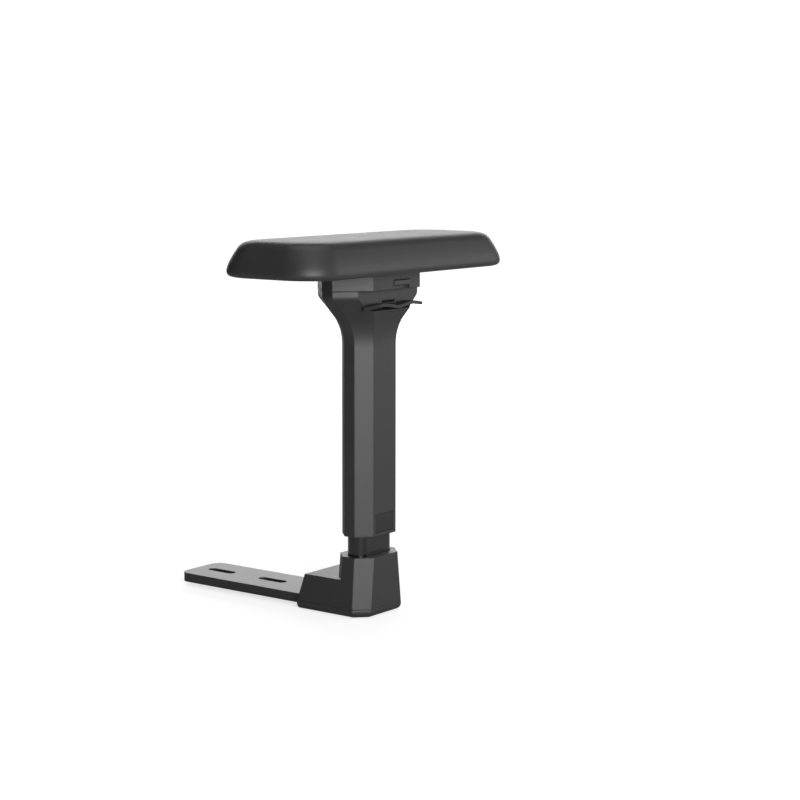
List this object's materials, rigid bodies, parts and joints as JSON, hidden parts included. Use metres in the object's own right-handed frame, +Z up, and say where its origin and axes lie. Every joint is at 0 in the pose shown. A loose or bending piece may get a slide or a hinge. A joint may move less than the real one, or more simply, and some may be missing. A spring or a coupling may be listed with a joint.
{
  "type": "adjustable chair armrest with pad",
  "caption": "Adjustable chair armrest: soft tapered pad on a swivelling, sliding deck, faceted sleeve with height lever, post, and a bolt-on bracket.",
  "frame": {"origin": "centre of the two seat-bolt slots, on the top face of the steel bracket plate, which meets the underside of the seat", "axes": "+X outboard (the sitter's right), +Y to the front of the chair, +Z up along the post"},
  "size_m": [0.25, 0.276, 0.3203],
  "materials": {
    "plate_steel": "black powder coat",
    "post_gloss": "gloss black",
    "shell_plastic": "fine matte texture",
    "badge_plastic": "smooth satin",
    "bush_plastic": "satin acetal",
    "glide_nylon": "natural nylon",
    "base_plastic": "moulded matte",
    "button_plastic": "satin",
    "lever_paint": "semi-gloss black",
    "screw_steel": "black oxide",
    "bright_steel": "zinc plated",
    "pad_skin": "soft-touch skin, fine grain"
  },
  "bodies": {
    "seat_mount": {"bracket_plate": "plate_steel", "post_tube": "post_gloss", "post_weld": "plate_steel", "post_cap": "bush_plastic", "bracket_cover": "shell_plastic", "bracket_tray": "shell_plastic", "cover_screws": "screw_steel"},
    "sleeve": {"sleeve_shell": "shell_plastic", "blank_badge": "badge_plastic", "lower_bush": "bush_plastic", "latch_housing": "bush_plastic", "stop_pin": "bright_steel", "deck_plate": "shell_plastic", "deck_screws": "screw_steel", "pivot_bolt": "bright_steel", "pivot_nut": "bright_steel", "spring_washer": "bright_steel", "friction_disc": "bush_plastic", "lever_pin": "bright_steel", "button_spring": "bright_steel"},
    "lever": {"height_lever": "lever_paint"},
    "rod": {"pull_rod": "bright_steel"},
    "latch": {"latch_bolt": "bright_steel"},
    "button": {"slide_button": "button_plastic"},
    "swivel": {"swivel_plate": "bright_steel", "swivel_hub": "bush_plastic", "cross_rails": "bright_steel"},
    "carriage": {"cross_carriage": "bush_plastic", "carriage_glides": "glide_nylon"},
    "pad": {"pad_base": "base_plastic", "slide_rails": "bright_steel", "pad_core": "base_plastic", "pad_screws": "screw_steel", "pad_cushion": "pad_skin"}
  },
  "joints": [
    {"name": "height_slide", "type": "slide", "parent": "seat_mount", "child": "sleeve", "axis": [0, 0, 1], "range_m": [-0.01, 0.06]},
    {"name": "lever_lift", "type": "hinge", "parent": "sleeve", "child": "lever", "pos_m": [0.155, 0, 0.252], "axis": [0, -1, 0], "range_deg": [0, 24], "stiffness_Nm_per_rad": 0.25, "springref_deg": -11.46},
    {"name": "rod_draw", "type": "slide", "parent": "sleeve", "child": "rod", "axis": [0, 0, -1], "range_m": [0, 0.0022]},
    {"name": "latch_draw", "type": "slide", "parent": "sleeve", "child": "latch", "axis": [1, 0, 0], "range_m": [0, 0.0022]},
    {"name": "button_press", "type": "slide", "parent": "sleeve", "child": "button", "axis": [-1, 0, 0], "range_m": [0, 0.0025], "stiffness_N_per_m": 400, "springref_m": -0.002},
    {"name": "pad_swivel", "type": "hinge", "parent": "sleeve", "child": "swivel", "pos_m": [0.138, 0, 0.2782], "axis": [0, 0, 1], "range_deg": [-25, 25]},
    {"name": "pad_sideways", "type": "slide", "parent": "swivel", "child": "carriage", "axis": [1, 0, 0], "range_m": [-0.009, 0.009]},
    {"name": "pad_fore_aft", "type": "slide", "parent": "carriage", "child": "pad", "axis": [0, 1, 0], "range_m": [-0.025, 0.025]}
  ],
  "couplings": [
    {"joint": "rod_draw", "follows": "lever_lift", "m_per_rad": 0.005},
    {"joint": "latch_draw", "follows": "lever_lift", "m_per_rad": 0.005}
  ]
}
